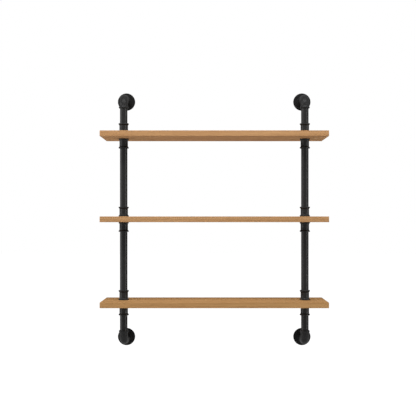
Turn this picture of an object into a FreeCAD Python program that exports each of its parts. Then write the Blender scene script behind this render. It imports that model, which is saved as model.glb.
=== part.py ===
# Wall shelf: three boards carried by two posts of pipe and beaded pipe fittings.
# Millimetres, +Z up. The wall is the plane Y = 0 and the front looks towards -Y.
# The origin is on the wall, in the middle of the four wall flanges.
# Each post is a string of pieces: a wall flange, a nipple, an elbow and a nipple, then
# a coupling above, a nipple through and a coupling below each board, with a riser from
# board to board, and at the foot a nipple, an elbow, a nipple and a wall flange.

import FreeCAD, Part
import math
import os

from FreeCAD import Placement, Rotation, Vector

# Boards
board_length = 800.0
board_depth = 200.0
board_thickness = 20.0
board_pitch = 300.0  # middle of one board to the middle of the next
board_wall_gap = 5.0  # air between a board's back edge and the wall
board_edge_radius = 1.5
board_hole_clearance = 0.55  # all round, for full-size pipe to pass
board_levels = {"bottom": -1, "middle": 0, "top": 1}

# Posts
post_inset = 74.0  # end of a board to the axis of its post
end_nipple_length = 54.0  # seen between the outer coupling and the elbow
sides = {"left": -1, "right": 1}
ends = {"lower": -1, "upper": 1}

# Pipe, nominal three-quarter inch, with a plain spigot in place of each thread
pipe_diameter = 26.9
pipe_wall = 2.65
thread_diameter = 25.3  # halfway up the thread
thread_length = 13.0
thread_chamfer = 1.0
thread_clearance = 0.05  # all round, between a spigot and its socket

# Bead round the mouth of a fitting
bead_rounding = 0.9
bead_root_radius = 2.0

# Couplings
coupling_length = 35.0
coupling_diameter = 30.4
coupling_bead_diameter = 36.5
coupling_bead_length = 3.2
coupling_bead_taper = 2.8  # length over which the bead falls to the body
coupling_gap = 7.0  # inside, between the ends of the two pipes

# Elbows
elbow_reach = 37.0  # middle of the bend to each end face
elbow_diameter = 30.0
elbow_waterway = 23.6
elbow_bead_diameter = 34.8
elbow_bead_length = 5.6
elbow_bead_taper = 3.0
elbow_gap = 1.0  # inside, between a pipe's end and the bend

# Wall flanges
flange_diameter = 64.0
flange_thickness = 4.5
flange_rim_rounding = 1.4
hub_diameter = 35.0  # where it meets the plate
hub_draft = 0.6  # lost all round by the hub's end face
hub_height = 18.0  # from the wall
hub_root_radius = 2.0
hub_rounding = 1.0
screws_per_flange = 4
first_screw_angle = 45.0
screw_hole_diameter = 5.5
countersink_diameter = 9.0

# Cutting tools run past the faces that they cut by this much
overrun = 1.0

# Worked out from the sizes above
post_offset = board_length / 2 - post_inset
post_depth = board_wall_gap + board_depth / 2
riser_foot = board_thickness / 2 + coupling_length
riser_length = board_pitch - 2 * riser_foot
end_nipple_foot = board_pitch * max(board_levels.values()) + riser_foot
elbow_height = end_nipple_foot + end_nipple_length + elbow_reach
wall_nipple_length = post_depth - hub_height - elbow_reach
board_nipple_grip = coupling_length - thread_length - coupling_gap
pipe_bore_radius = pipe_diameter / 2 - pipe_wall
spigot_radius = thread_diameter / 2
socket_radius = spigot_radius + thread_clearance
elbow_bend_radius = elbow_reach - thread_length - elbow_gap
screw_circle_radius = (flange_diameter + hub_diameter) / 4

x_axis = Vector(1, 0, 0)
y_axis = Vector(0, 1, 0)
z_axis = Vector(0, 0, 1)
unturned = Rotation()
upside_down = Rotation(y_axis, 180)
z_to_wall = Rotation(x_axis, -90)
z_to_front = Rotation(x_axis, 90)


def place(shape, x, y, z, turn):
    return shape.transformed(Placement(Vector(x, y, z), turn).toMatrix())


def rounded_face(corners):
    """A face in the XZ plane. Each corner is its radius, its height and its rounding."""
    points = [Vector(radius, 0, height) for radius, height, _ in corners]
    starts = []
    stops = []
    arcs = []
    for index, (_, _, rounding) in enumerate(corners):
        here = points[index]
        arriving = (here - points[index - 1]).normalize()
        leaving = (points[(index + 1) % len(points)] - here).normalize()
        half_turn = arriving.getAngle(leaving) / 2
        setback = rounding * math.tan(half_turn)
        starts.append(here - arriving * setback)
        stops.append(here + leaving * setback)
        arc = None
        if rounding:
            inward = (leaving - arriving).normalize()
            cut_off = rounding / math.cos(half_turn) - rounding
            arc = Part.Arc(starts[-1], here + inward * cut_off, stops[-1])
        arcs.append(arc)
    edges = []
    for index, arc in enumerate(arcs):
        if arc:
            edges.append(arc.toShape())
        following = starts[(index + 1) % len(starts)]
        edges.append(Part.LineSegment(stops[index], following).toShape())
    return Part.Face(Part.Wire(edges))


def turned(corners):
    """The rounded face turned about the Z axis."""
    return rounded_face(corners).revolve(Vector(), z_axis, 360)


def rod(radius, bottom, top):
    return Part.makeCylinder(radius, top - bottom, Vector(0, 0, bottom))


def threaded_pipe(seen_length):
    """Pipe with a spigot past each shoulder. Its lower shoulder is at height zero."""
    foot = -thread_length
    head = seen_length + thread_length
    return turned(
        [
            (pipe_bore_radius, foot, 0),
            (spigot_radius - thread_chamfer, foot, 0),
            (spigot_radius, foot + thread_chamfer, 0),
            (spigot_radius, 0, 0),
            (pipe_diameter / 2, 0, 0),
            (pipe_diameter / 2, seen_length, 0),
            (spigot_radius, seen_length, 0),
            (spigot_radius, head - thread_chamfer, 0),
            (spigot_radius - thread_chamfer, head, 0),
            (pipe_bore_radius, head, 0),
        ]
    )


def board_nipple():
    """Pipe threaded from end to end, centred on its board, that draws two couplings together."""
    head = board_thickness / 2 + board_nipple_grip
    return turned(
        [
            (pipe_bore_radius, -head, 0),
            (spigot_radius - thread_chamfer, -head, 0),
            (spigot_radius, thread_chamfer - head, 0),
            (spigot_radius, head - thread_chamfer, 0),
            (spigot_radius - thread_chamfer, head, 0),
            (pipe_bore_radius, head, 0),
        ]
    )


def beaded_mouth(body_radius, bead_radius, bead_length, bead_taper, mouth):
    """Corners from a fitting's body up to its mouth, whose end face is at height mouth."""
    return [
        (body_radius, mouth - bead_length - bead_taper, bead_root_radius),
        (bead_radius, mouth - bead_length, bead_rounding),
        (bead_radius, mouth, bead_rounding),
    ]


def coupling():
    """Straight socket with a bead at both mouths, centred on the origin."""
    half = coupling_length / 2
    upper = beaded_mouth(
        coupling_diameter / 2,
        coupling_bead_diameter / 2,
        coupling_bead_length,
        coupling_bead_taper,
        half,
    )
    lower = [(radius, -height, rounding) for radius, height, rounding in reversed(upper)]
    return turned([(socket_radius, -half, 0), *lower, *upper, (socket_radius, half, 0)])


def bend(radius):
    """Round bar through a quarter turn, from heading down -Z to heading out along +Y."""
    section = Part.makeCircle(radius, Vector(0, 0, elbow_bend_radius), z_axis)
    centre = Vector(0, elbow_bend_radius, elbow_bend_radius)
    return Part.Face(Part.Wire(section)).revolve(centre, x_axis, 90)


def elbow():
    """Hollow elbow with mouths facing +Z and +Y, and its origin where their axes cross."""
    body_radius = elbow_diameter / 2
    mouth = beaded_mouth(
        body_radius,
        elbow_bead_diameter / 2,
        elbow_bead_length,
        elbow_bead_taper,
        elbow_reach,
    )
    foot = [(0, elbow_bend_radius, 0), (body_radius, elbow_bend_radius, 0)]
    leg = turned([*foot, *mouth, (0, elbow_reach, 0)])
    socket = rod(socket_radius, elbow_bend_radius, elbow_reach + overrun)
    outside = bend(body_radius).fuse([leg, place(leg, 0, 0, 0, z_to_wall)])
    inside = bend(elbow_waterway / 2).fuse([socket, place(socket, 0, 0, 0, z_to_wall)])
    return outside.cut(inside).removeSplitter()


def screw_hole_cutters():
    """A shank hole and a right-angled countersink for each screw of a flange."""
    shank = screw_hole_diameter / 2
    head = countersink_diameter / 2
    hole = rod(shank, -overrun, flange_thickness + overrun)
    sink_foot = Vector(0, 0, flange_thickness - head + shank)
    sink = Part.makeCone(shank, head + overrun, head + overrun - shank, sink_foot)
    cutters = []
    for index in range(screws_per_flange):
        angle = first_screw_angle + index * 360 / screws_per_flange
        centre = Rotation(z_axis, angle).multVec(x_axis * screw_circle_radius)
        cutters += [hole.translated(centre), sink.translated(centre)]
    return cutters


def wall_flange():
    """Round flange with its back on Z = 0 and its drafted hub along +Z."""
    hub_radius = hub_diameter / 2
    blank = turned(
        [
            (socket_radius, 0, 0),
            (flange_diameter / 2, 0, 0),
            (flange_diameter / 2, flange_thickness, flange_rim_rounding),
            (hub_radius, flange_thickness, hub_root_radius),
            (hub_radius - hub_draft, hub_height, hub_rounding),
            (socket_radius, hub_height, 0),
        ]
    )
    return blank.cut(screw_hole_cutters())


def board():
    """Board with eased edges, centred over the posts, with a hole for each of them."""
    corner = Vector(-board_length / 2, -board_depth / 2, -board_thickness / 2)
    plank = Part.makeBox(board_length, board_depth, board_thickness, corner)
    plank = plank.makeFillet(board_edge_radius, plank.Edges)
    depth = board_thickness / 2 + overrun
    hole = rod(pipe_diameter / 2 + board_hole_clearance, -depth, depth)
    holes = [hole.translated(x_axis * side * post_offset) for side in sides.values()]
    return plank.cut(holes)


def post_parts(x):
    """The pieces of the post at x that its two ends and its boards repeat."""
    parts = {}
    for end, way in ends.items():
        outward = upside_down if way < 0 else unturned
        inward = unturned if way < 0 else upside_down
        height = way * elbow_height
        wall_nipple = threaded_pipe(wall_nipple_length)
        end_nipple = threaded_pipe(end_nipple_length)
        riser = threaded_pipe(riser_length)
        parts[f"{end}_wall_flange"] = place(wall_flange(), x, 0, height, z_to_front)
        parts[f"{end}_wall_nipple"] = place(wall_nipple, x, -hub_height, height, z_to_front)
        parts[f"{end}_elbow"] = place(elbow(), x, -post_depth, height, inward)
        parts[f"{end}_end_nipple"] = place(
            end_nipple, x, -post_depth, way * end_nipple_foot, outward
        )
        parts[f"{end}_riser"] = place(riser, x, -post_depth, way * riser_foot, outward)
    for level, step in board_levels.items():
        height = step * board_pitch
        reach = (board_thickness + coupling_length) / 2
        nipple = board_nipple()
        parts[f"{level}_board_nipple"] = place(nipple, x, -post_depth, height, unturned)
        for name, way in {"over": 1, "under": -1}.items():
            parts[f"{level}_{name}_coupling"] = place(
                coupling(), x, -post_depth, height + way * reach, unturned
            )
    return parts


def all_parts():
    """Every sub-part in its place, by name."""
    parts = {}
    for level, step in board_levels.items():
        parts[f"{level}_board"] = place(board(), 0, -post_depth, step * board_pitch, unturned)
    for side, sign in sides.items():
        for name, shape in post_parts(sign * post_offset).items():
            parts[f"{side}_{name}"] = shape
    return parts


os.makedirs("parts", exist_ok=True)
for name, shape in all_parts().items():
    shape.exportStep(f"parts/{name}.step")
print(f"elbows at {elbow_height:.1f} above and below the middle board")
print(f"risers {riser_length:.1f}, end nipples {end_nipple_length:.1f} and "
      f"wall nipples {wall_nipple_length:.1f} between shoulders")
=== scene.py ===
import math

import bpy
from mathutils import Matrix, Vector


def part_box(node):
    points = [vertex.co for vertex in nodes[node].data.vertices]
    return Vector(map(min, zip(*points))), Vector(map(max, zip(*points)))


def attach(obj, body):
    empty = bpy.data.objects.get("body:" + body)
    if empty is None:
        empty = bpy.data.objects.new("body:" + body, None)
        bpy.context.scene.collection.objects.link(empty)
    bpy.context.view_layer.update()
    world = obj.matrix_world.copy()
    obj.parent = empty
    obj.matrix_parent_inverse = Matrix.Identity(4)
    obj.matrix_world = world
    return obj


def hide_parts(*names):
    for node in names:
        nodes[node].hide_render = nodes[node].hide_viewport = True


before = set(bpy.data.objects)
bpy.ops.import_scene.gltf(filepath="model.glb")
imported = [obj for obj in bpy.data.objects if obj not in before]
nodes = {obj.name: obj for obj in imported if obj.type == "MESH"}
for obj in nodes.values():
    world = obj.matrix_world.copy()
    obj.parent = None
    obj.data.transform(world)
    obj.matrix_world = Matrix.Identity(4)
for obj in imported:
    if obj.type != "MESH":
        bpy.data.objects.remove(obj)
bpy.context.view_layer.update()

print("frame loaded with", len(nodes), "nodes")


# What every piece shares

millimetre = 0.001
slack = 0.05 * millimetre  # a point this near to a plane or a ring counts as on it
weld = 0.02 * millimetre  # points this near to each other become one
facing = 0.9  # a normal with this much of a direction in it counts as facing that way
surfaceDepth = 0.2 * millimetre  # height of the bumps that a finish draws
noiseLow, noiseHigh = 0.30, 0.70  # nearly all of a noise texture lies between these


def linearColour(hexCode):
    # the standard sRGB curve
    channels = [int(hexCode[start:start + 2], 16) / 255 for start in (0, 2, 4)]
    linear = [c / 12.92 if c <= 0.04045 else ((c + 0.055) / 1.055) ** 2.4 for c in channels]
    return (*linear, 1.0)


def perMetre(millimetres):
    # scale of a noise or cell texture whose features are this far apart
    return 1000 / millimetres


def addNode(tree, kind, inputs=None, **settings):
    # inputs maps a socket's name or number to a value or to the socket that feeds it
    node = tree.nodes.new(kind)
    for name, value in settings.items():
        setattr(node, name, value)
    for name, value in (inputs or {}).items():
        if isinstance(value, bpy.types.NodeSocket):
            tree.links.new(value, node.inputs[name])
        else:
            node.inputs[name].default_value = value
    return node


def setStops(ramp, stops):
    # stops are (place, hex code) pairs
    elements = ramp.color_ramp.elements
    while len(elements) < len(stops):
        elements.new(0.5)
    for element, (place, hexCode) in zip(elements, stops):
        element.position = place
        element.color = linearColour(hexCode)


def newMaterial(name):
    material = bpy.data.materials.new(name)
    material.use_nodes = True
    material.node_tree.nodes.clear()
    return material, material.node_tree


def finishMaterial(tree, shader):
    addNode(tree, "ShaderNodeOutputMaterial", {"Surface": shader.outputs[0]})


def giveMaterial(nodeName, material):
    slots = nodes[nodeName].data.materials
    slots.clear()
    slots.append(material)


def editOnly(piece, kind="FACE"):
    # edit mode on this one piece, with nothing selected in it
    bpy.ops.object.select_all(action="DESELECT")
    piece.select_set(True)
    bpy.context.view_layer.objects.active = piece
    bpy.ops.object.mode_set(mode="EDIT")
    bpy.ops.mesh.select_mode(type=kind)
    bpy.ops.mesh.select_all(action="DESELECT")


def pickFaces(piece, test):
    # leaves edit mode to mark the faces whose middle and normal pass the test, then returns to it
    bpy.ops.mesh.select_all(action="DESELECT")
    bpy.ops.object.mode_set(mode="OBJECT")
    for face in piece.data.polygons:
        face.select = test(face.center, face.normal)
    bpy.ops.object.mode_set(mode="EDIT")


def pickEdges(piece, test):
    # marks the edges whose middle passes the test, and needs edit mode in edge select
    bpy.ops.mesh.select_all(action="DESELECT")
    bpy.ops.object.mode_set(mode="OBJECT")
    points = piece.data.vertices
    for edge in piece.data.edges:
        first, second = edge.vertices
        edge.select = test((points[first].co + points[second].co) / 2)
    bpy.ops.object.mode_set(mode="EDIT")


def extrudeRing(way, far, centre, grow):
    # the marked ring goes far along way, then its radius is multiplied by grow
    bpy.ops.mesh.extrude_edges_move(TRANSFORM_OT_translate={"value": tuple(way * far)})
    if grow != 1.0:
        bpy.ops.transform.resize(value=(grow, grow, grow), center_override=tuple(centre))


def extrudeFaces(x=0, y=0, z=0):
    bpy.ops.mesh.extrude_region_move(TRANSFORM_OT_translate={"value": (x, y, z)})


def soften(width, segments):
    # rounds the marked edges, width in mm
    bpy.ops.mesh.bevel(offset=width * millimetre, segments=segments, affect="EDGES")


def applyPlace(piece):
    bpy.ops.object.select_all(action="DESELECT")
    piece.select_set(True)
    bpy.context.view_layer.objects.active = piece
    bpy.ops.object.transform_apply(location=True, rotation=True, scale=True)


def applyModifier(piece, kind, **settings):
    modifier = piece.modifiers.new(kind.title(), kind)
    for name, value in settings.items():
        setattr(modifier, name, value)
    bpy.context.view_layer.objects.active = piece
    bpy.ops.object.modifier_apply(modifier=modifier.name)


def settlePiece(piece, name, material, sharpness):
    # the piece gets its shading, name and finish and rides on the shelf
    applyPlace(piece)
    bpy.ops.object.shade_smooth_by_angle(angle=math.radians(sharpness))
    piece.name = piece.data.name = name
    piece.data.materials.clear()
    piece.data.materials.append(material)
    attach(piece, "root")


def copyTo(piece, name, shift, degrees=0, axis="Z", pivot=(0, 0, 0)):
    # a copy with its own mesh, turned about an axis through the pivot, then moved by shift
    twin = piece.copy()
    twin.data = piece.data.copy()
    twin.name = twin.data.name = name
    bpy.context.scene.collection.objects.link(twin)
    turn = Matrix.Rotation(math.radians(degrees), 4, axis)
    middle = Matrix.Translation(pivot)
    twin.data.transform(Matrix.Translation(shift) @ middle @ turn @ middle.inverted())
    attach(twin, "root")
    return twin


def middleOf(nodeName):
    low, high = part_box(nodeName)
    return (Vector(low) + Vector(high)) / 2


# Camera, level with the middle board and three metres in front of the boards

cameraPlan = {
    "toBoards": 3.003,  # metres to the front edges of the boards
    "sideways": -0.008,
    "focalPixels": 862.0,  # for an image 416 pixels wide
    "imagePixels": 416,
    "sensor": 36.0,  # mm across
    "centreX": 214.35,  # where the middle of the shelf lies in the image
    "centreY": 219.3,
}


def makeCamera(plan):
    data = bpy.data.cameras.new("photoCamera")
    data.sensor_width = plan["sensor"]
    data.lens = plan["focalPixels"] / plan["imagePixels"] * plan["sensor"]
    half = plan["imagePixels"] / 2
    offMiddle = plan["focalPixels"] * plan["sideways"] / plan["toBoards"]
    data.shift_x = (half - plan["centreX"] - offMiddle) / plan["imagePixels"]
    data.shift_y = (plan["centreY"] - half) / plan["imagePixels"]
    camera = bpy.data.objects.new("photoCamera", data)
    camera.location = (plan["sideways"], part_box("top_board")[0][1] - plan["toBoards"], 0)
    camera.rotation_euler = (math.radians(90), 0, 0)
    bpy.context.scene.collection.objects.link(camera)
    bpy.context.scene.camera = camera


makeCamera(cameraPlan)
print("camera placed")


# Oak, glued up from solid staves, planed and oiled: warm honey colour, straight grain with fine
# dark pores, and an oil finish so thin that the wood shows next to no shine

oak = {
    "pale": "BB956C",
    "honey": "AD845B",
    "brown": "976F4A",
    "pore": "6E4A2C",
    "paintedNoSheenTint": "FFFFF2",  # painted lack of sheen: the lowest board is tinted yellower, as the light from above lays a paler, greyer sheen on the upper boards only
    "stave": 50.0,  # mm, width of the staves that are glued into a board
    "pitch": 300.0,  # mm between boards, so that each board has its own pattern
    "cutFrom": (3.0, 0.16, 0.10),  # metres of trunk, along and across, that staves come from
    "swayLong": 90.0,  # mm across a bend of the trunk
    "swayStretch": 20.0,  # how much longer than that it is along the trunk
    "sway": 30.0,  # mm that the trunk bends to the side
    "ring": 3.2,  # mm from one growth ring to the next
    "ringUneven": 0.8,
    "fibre": 1.1,  # mm, real fibres are finer and would not show
    "streak": 7.7,  # mm between darker and lighter streaks
    "pores": 0.7,  # mm, drawn wider than the real 0.3
    "poreFrom": 0.60,  # of the noise, above which a pore starts to open
    "poreFull": 0.72,
    "grainStretch": 60.0,  # how much longer than wide the fibres are
    # how strongly each of these darkens the wood
    "ringWeight": 0.24,
    "streakWeight": 0.55,
    "fibreWeight": 0.35,
    "staveWeight": 0.16,
    "poreWeight": 0.45,
    # where the three wood colours lie between the palest tone at 0 and the darkest at 1
    "paleAt": 0.32,
    "honeyAt": 0.58,
    "brownAt": 0.88,
    "roughness": (0.74, 0.86),  # from one fibre to the next
    "shine": 0.03,
    "bump": 0.25,
}


def cutStaves(tree, plan):
    # every stave is cut from its own place in the tree
    place = addNode(tree, "ShaderNodeTexCoord").outputs["Object"]
    split = addNode(tree, "ShaderNodeSeparateXYZ", {0: place})
    across = addNode(tree, "ShaderNodeMath",
                     {0: split.outputs["Y"], 1: perMetre(plan["stave"])}, operation="MULTIPLY")
    upwards = addNode(tree, "ShaderNodeMath",
                      {0: split.outputs["Z"], 1: perMetre(plan["pitch"])}, operation="MULTIPLY")
    staveNumber = addNode(tree, "ShaderNodeMath", {0: across.outputs[0]}, operation="FLOOR")
    boardNumber = addNode(tree, "ShaderNodeMath", {0: upwards.outputs[0]}, operation="ROUND")
    staveKey = addNode(tree, "ShaderNodeCombineXYZ",
                       {"X": staveNumber.outputs[0], "Y": boardNumber.outputs[0], "Z": 0.0})
    chance = addNode(tree, "ShaderNodeTexWhiteNoise", {"Vector": staveKey.outputs[0]})
    shift = addNode(tree, "ShaderNodeVectorMath",
                    {0: chance.outputs["Color"], 1: plan["cutFrom"]}, operation="MULTIPLY")
    own = addNode(tree, "ShaderNodeVectorMath", {0: place, 1: shift.outputs[0]}, operation="ADD")
    return own.outputs[0], chance.outputs["Value"], boardNumber.outputs[0]


def growRings(tree, plan, own):
    # rings round a trunk that lies along the board and sways a little
    lazy = addNode(tree, "ShaderNodeMapping",
                   {"Vector": own, "Scale": (1 / plan["swayStretch"], 1.0, 1.0)})
    bends = addNode(tree, "ShaderNodeTexNoise",
                    {"Vector": lazy.outputs[0], "Scale": perMetre(plan["swayLong"]), "Detail": 2.0})
    far = plan["sway"] * millimetre
    sway = addNode(tree, "ShaderNodeVectorMath",
                   {0: bends.outputs["Color"], 1: (0.0, far, far)}, operation="MULTIPLY")
    trunk = addNode(tree, "ShaderNodeVectorMath", {0: own, 1: sway.outputs[0]}, operation="ADD")
    # at a scale of 1 a wave texture draws twenty rings in two pi metres
    rings = addNode(tree, "ShaderNodeTexWave",
                    {"Vector": trunk.outputs[0], "Scale": 2 * math.pi / 20 * perMetre(plan["ring"]),
                     "Distortion": plan["ringUneven"], "Detail": 2.0, "Detail Scale": 0.4},
                    wave_type="RINGS", rings_direction="X", wave_profile="SAW")
    return rings.outputs["Fac"]


def drawGrain(tree, plan, own):
    # fibres, streaks and pores, all stretched along the board
    along = addNode(tree, "ShaderNodeMapping",
                    {"Vector": own, "Scale": (1 / plan["grainStretch"], 1.0, 1.0)}).outputs[0]
    fibres = addNode(tree, "ShaderNodeTexNoise",
                     {"Vector": along, "Scale": perMetre(plan["fibre"]), "Detail": 3.0,
                      "Roughness": 0.6})
    streaks = addNode(tree, "ShaderNodeTexNoise",
                      {"Vector": along, "Scale": perMetre(plan["streak"]), "Detail": 2.0})
    specks = addNode(tree, "ShaderNodeTexNoise",
                     {"Vector": along, "Scale": perMetre(plan["pores"]), "Detail": 1.0})
    pores = addNode(tree, "ShaderNodeMapRange",
                    {"Value": specks.outputs[0], "From Min": plan["poreFrom"],
                     "From Max": plan["poreFull"], "To Min": 0.0, "To Max": 1.0})
    return fibres.outputs[0], streaks.outputs[0], pores.outputs[0]


# Painted sheen by height: the lowest board is tinted yellower than the others, in place of the grey
# sheen that light from above gives only the upper boards
def paintSheenlessLowest(tree, plan, colour, boardNumber):
    # boards are numbered -1, 0 and 1 from the lowest up
    above = addNode(tree, "ShaderNodeMapRange",
                    {"Value": boardNumber, "From Min": -1.0, "From Max": 0.0})
    tint = addNode(tree, "ShaderNodeMix",
                   {"Factor": above.outputs[0], "A": linearColour(plan["paintedNoSheenTint"]),
                    "B": (1.0, 1.0, 1.0, 1.0)}, data_type="RGBA")
    tinted = addNode(tree, "ShaderNodeMix",
                     {"Factor": 1.0, "A": colour, "B": tint.outputs["Result"]},
                     data_type="RGBA", blend_type="MULTIPLY")
    return tinted.outputs["Result"]


def oakMaterial(plan):
    material, tree = newMaterial("oiledOak")
    own, chance, boardNumber = cutStaves(tree, plan)
    rings = growRings(tree, plan, own)
    fibres, streaks, pores = drawGrain(tree, plan, own)
    tone = 0.0
    for pattern, weight in ((rings, "ringWeight"), (streaks, "streakWeight"),
                            (fibres, "fibreWeight"), (chance, "staveWeight")):
        tone = addNode(tree, "ShaderNodeMath", {0: pattern, 1: plan[weight], 2: tone},
                       operation="MULTIPLY_ADD").outputs[0]
    wood = addNode(tree, "ShaderNodeValToRGB", {"Fac": tone})
    setStops(wood, [(plan["paleAt"], plan["pale"]), (plan["honeyAt"], plan["honey"]),
                    (plan["brownAt"], plan["brown"])])
    poreShare = addNode(tree, "ShaderNodeMath", {0: pores, 1: plan["poreWeight"]},
                        operation="MULTIPLY")
    pored = addNode(tree, "ShaderNodeMix",
                    {"Factor": poreShare.outputs[0], "A": wood.outputs[0],
                     "B": linearColour(plan["pore"])}, data_type="RGBA")
    colour = paintSheenlessLowest(tree, plan, pored.outputs["Result"], boardNumber)

    # pores lie below the fibres
    height = addNode(tree, "ShaderNodeMath", {0: pores, 1: -1.0, 2: fibres},
                     operation="MULTIPLY_ADD")
    bump = addNode(tree, "ShaderNodeBump", {"Height": height.outputs[0],
                                            "Strength": plan["bump"], "Distance": surfaceDepth})
    smooth, rough = plan["roughness"]
    roughness = addNode(tree, "ShaderNodeMapRange",
                        {"Value": fibres, "To Min": smooth, "To Max": rough})
    shader = addNode(tree, "ShaderNodeBsdfPrincipled",
                     {"Base Color": colour, "Roughness": roughness.outputs[0], "IOR": 1.46,
                      "Specular IOR Level": plan["shine"], "Normal": bump.outputs[0]})
    finishMaterial(tree, shader)
    return material


# Powder coat, black satin, baked on steel pipe: a near black matt body under a clear gloss,
# which draws a narrow streak of light down each side of a pipe

coat = {
    "dark": "222222",
    "light": "262626",
    "roughness": (0.55, 0.65),  # of the pigmented body under the gloss, from patch to patch
    "gloss": 0.20,  # how much of a full clear gloss the coat has
    "glossRoughness": 0.10,
    "bump": 0.15,
    "peel": 1.6,  # mm across the faint orange peel of the coat
    "patch": 40.0,  # mm across faint uneven patches
}

# The same coat on sand cast elbows: the grain of the sand spreads its lights wide and soft

castSkin = {
    "dark": "202020",
    "light": "252525",
    "roughness": (0.55, 0.65),
    "gloss": 0.19,
    "glossRoughness": 0.34,
    "bump": 0.18,
    "peel": 1.4,
    "patch": 25.0,
    "grain": 2.2,  # mm, sand grain of the casting under the coat
    "grainDepth": 1.5,  # times as high as the orange peel
}

# Couplings look smoother than elbows, so their lights are narrower and stronger

couplingSkin = {
    **castSkin,
    "gloss": 0.22,
    "glossRoughness": 0.20,
    "grainDepth": 1.0,
}

# Painted shade: flanges and their screws get a blacker, duller copy of the elbows' coat, for the
# shade they lie in by the wall, behind the elbows

shadedFlangeSkin = {
    **castSkin,
    "dark": "181818",
    "light": "1C1C1C",
    "gloss": 0.14,
}


def coatMaterial(name, plan):
    material, tree = newMaterial(name)
    place = addNode(tree, "ShaderNodeTexCoord").outputs["Object"]
    patches = addNode(tree, "ShaderNodeTexNoise",
                      {"Vector": place, "Scale": perMetre(plan["patch"]), "Detail": 3.0})
    peel = addNode(tree, "ShaderNodeTexNoise",
                   {"Vector": place, "Scale": perMetre(plan["peel"]), "Detail": 1.0})
    colour = addNode(tree, "ShaderNodeValToRGB", {"Fac": patches.outputs[0]})
    setStops(colour, [(noiseLow, plan["dark"]), (noiseHigh, plan["light"])])
    smooth, rough = plan["roughness"]
    roughness = addNode(tree, "ShaderNodeMapRange",
                        {"Value": patches.outputs[0], "To Min": smooth, "To Max": rough})
    height = peel.outputs[0]
    if "grain" in plan:
        grain = addNode(tree, "ShaderNodeTexNoise",
                        {"Vector": place, "Scale": perMetre(plan["grain"]), "Detail": 4.0})
        height = addNode(tree, "ShaderNodeMath",
                         {0: grain.outputs[0], 1: plan["grainDepth"], 2: peel.outputs[0]},
                         operation="MULTIPLY_ADD").outputs[0]
    bump = addNode(tree, "ShaderNodeBump",
                   {"Height": height, "Strength": plan["bump"], "Distance": surfaceDepth})
    shader = addNode(tree, "ShaderNodeBsdfPrincipled",
                     {"Base Color": colour.outputs[0], "Roughness": roughness.outputs[0],
                      "IOR": 1.5, "Specular IOR Level": 0.0, "Normal": bump.outputs[0],
                      "Coat Weight": plan["gloss"], "Coat Roughness": plan["glossRoughness"],
                      "Coat IOR": 1.5, "Coat Normal": bump.outputs[0]})
    finishMaterial(tree, shader)
    return material


boardFinish = oakMaterial(oak)
pipeFinish = coatMaterial("powderCoatOnPipe", coat)
elbowFinish = coatMaterial("powderCoatOnCasting", castSkin)
couplingFinish = coatMaterial("powderCoatOnCoupling", couplingSkin)
shadedFlangeFinish = coatMaterial("powderCoatOnFlangeInPaintedShade", shadedFlangeSkin)
for name in nodes:
    if name.endswith("_board"):
        giveMaterial(name, boardFinish)
    elif name.endswith(("_nipple", "_riser")):
        giveMaterial(name, pipeFinish)
    elif name.endswith("_flange"):
        # the flanges' darker coat is painted shade
        giveMaterial(name, shadedFlangeFinish)
    else:
        # elbows and couplings, whose castings follow below
        giveMaterial(name, elbowFinish)
print("materials given")


# Castings, sand cast in two half moulds: soft beads and a low ridge where the moulds met

def addRing(plan, radius, middle):
    # a level ring of edges, turned by half a side so that a face lies across each middle plane
    bpy.ops.object.select_all(action="DESELECT")
    bpy.ops.mesh.primitive_circle_add(vertices=plan["sides"], radius=radius * millimetre,
                                      location=middle, rotation=(0, 0, math.pi / plan["sides"]))
    piece = bpy.context.active_object
    applyPlace(piece)
    editOnly(piece, "EDGE")
    bpy.ops.mesh.select_all(action="SELECT")
    return piece


def mouthRings(way, centre, radii, steps):
    # extrudes the marked ring to each step along way, where it takes the next radius
    for (before, after), (start, stop) in zip(zip(radii, radii[1:]), zip(steps, steps[1:])):
        here = centre + way * stop * millimetre
        extrudeRing(way, (stop - start) * millimetre, here, after / before)


def onRing(offset, way, height, radius):
    # whether a point, seen from the middle, lies on the ring at this height along way
    along = offset.dot(way)
    out = (offset - way * along).length
    return abs(along - height * millimetre) < slack and abs(out - radius * millimetre) < slack


# Couplings, one above and one below each board on both posts

castCoupling = {
    "sides": 96,
    "body": 30.4,  # mm across
    "beadLong": 4.0,  # mm along the axis
    "fall": 2.4,  # mm over which the bead falls to the body
    "socket": 25.4,  # mm across
    "beadSoften": 1.2,
    "rootSoften": 1.2,
    "softSegments": 4,  # faces across each soft corner
    "ridge": 0.25,  # mm that the ridge stands proud
    "turnBetween": 137,  # degrees, as every coupling stops where its thread is tight
    "sharpness": 50,  # degrees, past which an edge looks sharp
}


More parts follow.
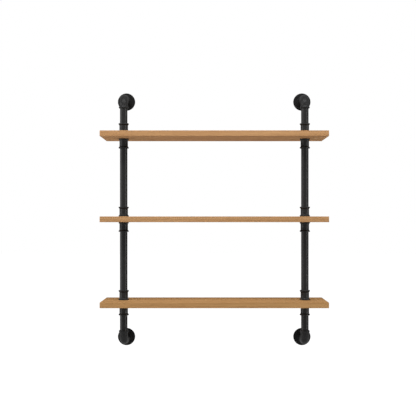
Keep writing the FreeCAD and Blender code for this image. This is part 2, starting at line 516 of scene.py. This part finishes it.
def makeCoupling(plan, nodeName):
    low, high = (Vector(corner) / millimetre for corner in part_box(nodeName))
    centre = (low + high) / 2 * millimetre
    half = (high.z - low.z) / 2
    body, bead, socket = plan["body"] / 2, (high.x - low.x) / 2, plan["socket"] / 2
    inner = half - plan["beadLong"]
    root = inner - plan["fall"]
    up = Vector((0, 0, 1))

    piece = addRing(plan, socket, centre - up * half * millimetre)
    mouthRings(up, centre, [socket, bead, bead, body, body, bead, bead, socket],
               [-half, -half, -inner, -root, root, inner, half, half])
    for radius, heights, width in ((bead, (inner, half), plan["beadSoften"]),
                                   (body, (root,), plan["rootSoften"])):
        for height in heights:
            for side in (-1, 1):
                pickEdges(piece, lambda middle: onRing(middle - centre, up, side * height, radius))
                soften(width, plan["softSegments"])

    # the ridge runs where the moulds met, but not across the end faces
    bpy.ops.mesh.select_mode(type="FACE")
    pickFaces(piece, lambda middle, normal: abs(middle.y - centre.y) < slack
              and abs(normal.z) < facing)
    bpy.ops.transform.shrink_fatten(value=plan["ridge"] * millimetre)

    # the socket joins the two open ends
    bpy.ops.mesh.select_mode(type="EDGE")
    bpy.ops.mesh.select_all(action="DESELECT")
    bpy.ops.mesh.select_non_manifold()
    bpy.ops.mesh.bridge_edge_loops()
    bpy.ops.mesh.select_all(action="SELECT")
    bpy.ops.mesh.normals_make_consistent(inside=False)
    bpy.ops.object.mode_set(mode="OBJECT")
    return piece


def placeCouplings(plan, material):
    names = sorted(name for name in nodes if name.endswith("_coupling"))
    first = makeCoupling(plan, names[0])
    settlePiece(first, names[0] + "_casting", material, plan["sharpness"])
    start = middleOf(names[0])
    for number, name in enumerate(names):
        casting = first
        if number:
            casting = copyTo(first, name + "_casting", middleOf(name) - start,
                             plan["turnBetween"] * number, "Z", start)
        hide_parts(name)


placeCouplings(castCoupling, couplingFinish)


# Elbows, one at each end of both posts

castElbow = {
    "sides": 96,
    "reach": 37.0,  # mm from the middle of the bend to each mouth
    "bend": 23.0,  # mm, radius of the bend's middle line
    "bendSteps": 14,
    "body": 30.0,  # mm across
    "beadLong": 5.6,  # mm along the axis
    "fall": 3.0,  # mm over which the bead falls to the body
    "socket": 25.4,  # mm across
    "waterway": 23.6,  # mm across
    "beadSoften": 2.2,
    "rootSoften": 1.8,
    "softSegments": 4,
    "ridge": 0.25,
    "sharpness": 50,
}


def onMouth(offset, reach):
    # whether a point, seen from the middle of the bend, lies on either end face
    return abs(-offset.z - reach * millimetre) < slack or abs(offset.y - reach * millimetre) < slack


def makeElbow(plan, nodeName):
    # mouths look down and to the wall, as in the upper elbows
    low, high = (Vector(corner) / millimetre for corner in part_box(nodeName))
    reach, bend, body, socket = plan["reach"], plan["bend"], plan["body"] / 2, plan["socket"] / 2
    bead = (high.x - low.x) / 2
    inner = reach - plan["beadLong"]
    root = inner - plan["fall"]
    centre = Vector(((low.x + high.x) / 2, high.y - reach, low.z + reach)) * millimetre
    down, back = Vector((0, 0, -1)), Vector((0, 1, 0))
    hinge = centre + (down + back) * bend * millimetre

    # outside: down to one mouth, round the bend and out to the other
    piece = addRing(plan, body, centre + down * bend * millimetre)
    radii, steps = [body, body, bead, bead, socket], [bend, root, inner, reach, reach]
    mouthRings(down, centre, radii, steps)
    pickEdges(piece, lambda middle: onRing(middle - centre, down, bend, body))
    bpy.ops.mesh.spin(steps=plan["bendSteps"], angle=math.pi / 2, center=hinge, axis=(1, 0, 0))
    pickEdges(piece, lambda middle: onRing(middle - centre, back, bend, body))
    mouthRings(back, centre, radii, steps)
    for way in (down, back):
        for height, radius, width in ((reach, bead, plan["beadSoften"]),
                                      (inner, bead, plan["beadSoften"]),
                                      (root, body, plan["rootSoften"])):
            pickEdges(piece, lambda middle: onRing(middle - centre, way, height, radius))
            soften(width, plan["softSegments"])
    bpy.ops.mesh.select_mode(type="FACE")
    pickFaces(piece, lambda middle, normal: abs(middle.x - centre.x) < slack
              and not onMouth(middle - centre, reach))
    bpy.ops.transform.shrink_fatten(value=plan["ridge"] * millimetre)

    # inside: in at the wall's mouth, through the waterway and out at the lower one
    waterway = plan["waterway"] / 2
    bpy.ops.mesh.select_mode(type="EDGE")
    pickEdges(piece, lambda middle: onRing(middle - centre, back, reach, socket))
    mouthRings(back, centre, [socket, socket, waterway], [reach, bend, bend])
    bpy.ops.mesh.spin(steps=plan["bendSteps"], angle=-math.pi / 2, center=hinge, axis=(1, 0, 0))
    mouthRings(down, centre, [waterway, socket, socket], [bend, bend, reach])
    bpy.ops.mesh.select_all(action="SELECT")
    bpy.ops.mesh.remove_doubles(threshold=weld)
    bpy.ops.mesh.normals_make_consistent(inside=False)
    bpy.ops.object.mode_set(mode="OBJECT")
    return piece


def placeElbows(plan, material):
    # a lower elbow is an upper one turned half way about the axis of its wall nipple
    first = makeElbow(plan, "left_upper_elbow")
    settlePiece(first, "left_upper_elbow_casting", material, plan["sharpness"])
    start = middleOf("left_upper_wall_flange")
    for side in ("left", "right"):
        for end, degrees in (("upper", 0), ("lower", 180)):
            name = f"{side}_{end}_elbow"
            casting = first
            if name != "left_upper_elbow":
                shift = middleOf(f"{side}_{end}_wall_flange") - start
                casting = copyTo(first, name + "_casting", shift, degrees, "Y", start)
            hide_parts(name)


placeElbows(castElbow, elbowFinish)
print("couplings and elbows cast")


# Wall screws, black countersunk wood screws with a cross recess, one in each flange hole

wallScrew = {
    "circle": 49.5,  # mm across the ring of holes in a flange
    "plate": 4.5,  # mm, thickness of the flange
    "sides": 32,
    "head": 8.6,
    "shank": 4.8,
    "land": 0.4,  # mm of straight rim above the cone
    "crown": 0.5,  # mm that the crown would rise if it went on to the middle
    "crownShares": (0.45, 0.30),  # of the head's radius, covered by each ring of the crown
    "slotLong": 4.6,
    "slotWide": 1.1,
    "slotDeep": 1.6,
    "edge": 0.15,  # mm, softening of the edges
    "edgeSegments": 2,
    "edgeAngle": 40,  # degrees, past which an edge is softened
    "sharpness": 35,
}


def makeScrewBlank(plan, x, z):
    # a countersunk head with its front at the plate's face, and a shank back to the wall
    head, shank = plan["head"] / 2 * millimetre, plan["shank"] / 2 * millimetre
    land = plan["land"] * millimetre
    cone = head - shank
    coneMiddle = -plan["plate"] * millimetre + land + cone / 2
    bpy.ops.object.select_all(action="DESELECT")
    bpy.ops.mesh.primitive_cone_add(vertices=plan["sides"], radius1=shank, radius2=head, depth=cone,
                                    location=(x, coneMiddle, z), rotation=(math.radians(90), 0, 0))
    screw = bpy.context.active_object
    applyPlace(screw)
    editOnly(screw)
    pickFaces(screw, lambda middle, normal: normal.y > facing)
    extrudeFaces(y=-(coneMiddle + cone / 2))
    pickFaces(screw, lambda middle, normal: normal.y < -facing)
    extrudeFaces(y=-land)
    for share in plan["crownShares"]:
        bpy.ops.mesh.inset(thickness=head * share, depth=plan["crown"] * millimetre * share)
    bpy.ops.object.mode_set(mode="OBJECT")
    return screw


def makeCrossCutter(plan, x, z):
    # a small cube in the middle of the head whose four sides are pulled out into arms
    front = -plan["plate"] * millimetre
    wide = plan["slotWide"] * millimetre
    arm = (plan["slotLong"] - plan["slotWide"]) / 2 * millimetre
    bpy.ops.object.select_all(action="DESELECT")
    bpy.ops.mesh.primitive_cube_add(size=1, location=(x, front, z))
    cutter = bpy.context.active_object
    cutter.scale = (wide, 2 * plan["slotDeep"] * millimetre, wide)
    applyPlace(cutter)
    editOnly(cutter)
    for sideways in ((arm, 0, 0), (-arm, 0, 0), (0, 0, arm), (0, 0, -arm)):
        side = Vector((x, front, z)) + Vector(sideways).normalized() * wide / 2
        pickFaces(cutter, lambda middle, normal: (middle - side).length < slack)
        extrudeFaces(*sideways)
    bpy.ops.object.mode_set(mode="OBJECT")
    return cutter


def makeWallScrew(plan, x, z):
    screw = makeScrewBlank(plan, x, z)
    cutter = makeCrossCutter(plan, x, z)
    applyModifier(screw, "BOOLEAN", object=cutter, operation="DIFFERENCE", solver="EXACT")
    bpy.data.objects.remove(cutter)
    applyModifier(screw, "BEVEL", width=plan["edge"] * millimetre, segments=plan["edgeSegments"],
                  limit_method="ANGLE", angle_limit=math.radians(plan["edgeAngle"]))
    return screw


def placeWallScrews(plan, material):
    # holes stand at 45 degrees round the middle of the flange
    reach = plan["circle"] / 2 * millimetre * math.sqrt(0.5)
    corners = [(-reach, -reach), (-reach, reach), (reach, -reach), (reach, reach)]
    first = None
    for side in ("left", "right"):
        for end in ("upper", "lower"):
            middle = middleOf(f"{side}_{end}_wall_flange")
            for number, (right, up) in enumerate(corners, 1):
                name = f"{side}_{end}_wall_screw_{number}"
                spot = Vector((middle.x + right, 0, middle.z + up))
                if first is None:
                    first = screw = makeWallScrew(plan, spot.x, spot.z)
                    origin = spot
                    settlePiece(screw, name, material, plan["sharpness"])
                else:
                    screw = copyTo(first, name, spot - origin)


# the screws share the flanges' darker coat, which is painted shade
placeWallScrews(wallScrew, shadedFlangeFinish)
print("wall screws driven")


# Studio: a pale floor far below, a white surround and soft lamps

studio = {
    "floorDrop": 1.35,  # metres from the middle board down to the floor
    "floorSize": 60.0,
    "floor": "F2F2F2",
    "nearGlow": 0.35,  # the floor under the shelf keeps some of its own shade
    "glowFrom": 1.2,  # metres from the middle, where the floor starts to fade to white
    "glowFull": 2.6,
    "ambient": 0.05,  # light on the object from all round
}
lamps = {
    # name: place, size across and up, watts, whether it shows in gloss
    "topPanel": ((0.0, -1.24, 1.64), (2.6, 0.9), 50, True),
    "leftPanel": ((-3.06, -0.93, 0.3), (2.95, 2.5), 78, True),
    "rightPanel": ((3.7, -2.0, 0.2), (1.1, 2.4), 63, True),
    "backHigh": ((0.0, 2.4, 0.9), (2.4, 1.2), 20, False),
    "backLow": ((0.0, 2.4, -0.7), (2.4, 0.8), 28, False),
}


def makeWorld(plan):
    # the camera, gloss and anything clear see plain white, and the rest gets the ambient light
    world = bpy.data.worlds.new("whiteStudio")
    bpy.context.scene.world = world
    world.use_nodes = True
    tree = world.node_tree
    tree.nodes.clear()
    path = addNode(tree, "ShaderNodeLightPath")
    seen = addNode(tree, "ShaderNodeMath",
                   {0: path.outputs["Is Camera Ray"], 1: path.outputs["Is Glossy Ray"]},
                   operation="MAXIMUM")
    seen = addNode(tree, "ShaderNodeMath",
                   {0: seen.outputs[0], 1: path.outputs["Is Transmission Ray"]},
                   operation="MAXIMUM")
    ambient = addNode(tree, "ShaderNodeBackground",
                      {"Color": (1, 1, 1, 1), "Strength": plan["ambient"]})
    white = addNode(tree, "ShaderNodeBackground", {"Color": (1, 1, 1, 1), "Strength": 1.0})
    mix = addNode(tree, "ShaderNodeMixShader",
                  {0: seen.outputs[0], 1: ambient.outputs[0], 2: white.outputs[0]})
    addNode(tree, "ShaderNodeOutputWorld", {"Surface": mix.outputs[0]})


def makeFloor(plan):
    # matt pale paint that fades to the white of the surround away from the shelf
    bpy.ops.object.select_all(action="DESELECT")
    bpy.ops.mesh.primitive_plane_add(size=plan["floorSize"], location=(0, 0, -plan["floorDrop"]))
    floor = bpy.context.active_object
    floor.name = "floor"
    applyPlace(floor)
    material, tree = newMaterial("palePaintedFloor")
    path = addNode(tree, "ShaderNodeLightPath")
    seen = addNode(tree, "ShaderNodeMath",
                   {0: path.outputs["Is Camera Ray"], 1: path.outputs["Is Glossy Ray"]},
                   operation="MAXIMUM")
    place = addNode(tree, "ShaderNodeTexCoord").outputs["Object"]
    reach = addNode(tree, "ShaderNodeVectorMath", {0: place}, operation="LENGTH")
    far = addNode(tree, "ShaderNodeMapRange",
                  {"Value": reach.outputs["Value"], "From Min": plan["glowFrom"],
                   "From Max": plan["glowFull"], "To Min": plan["nearGlow"], "To Max": 1.0},
                  interpolation_type="SMOOTHSTEP")
    share = addNode(tree, "ShaderNodeMath", {0: seen.outputs[0], 1: far.outputs[0]},
                    operation="MULTIPLY")
    glow = addNode(tree, "ShaderNodeEmission",
                   {"Color": (1, 1, 1, 1), "Strength": share.outputs[0]})
    matt = addNode(tree, "ShaderNodeBsdfDiffuse", {"Color": linearColour(plan["floor"])})
    both = addNode(tree, "ShaderNodeAddShader", {0: matt.outputs[0], 1: glow.outputs[0]})
    finishMaterial(tree, both)
    floor.data.materials.append(material)


def makeLamp(name, place, size, watts, inGloss):
    # a soft panel that faces the middle of the shelf
    data = bpy.data.lights.new(name, "AREA")
    data.shape = "RECTANGLE"
    data.size, data.size_y = size
    data.energy = watts
    lamp = bpy.data.objects.new(name, data)
    lamp.location = place
    lamp.rotation_euler = (-Vector(place)).to_track_quat("-Z", "Y").to_euler()
    lamp.visible_camera = False
    lamp.visible_glossy = inGloss
    bpy.context.scene.collection.objects.link(lamp)


makeWorld(studio)
makeFloor(studio)
for name, plan in lamps.items():
    makeLamp(name, *plan)
bpy.context.scene.view_settings.view_transform = "Standard"
print("studio lit")
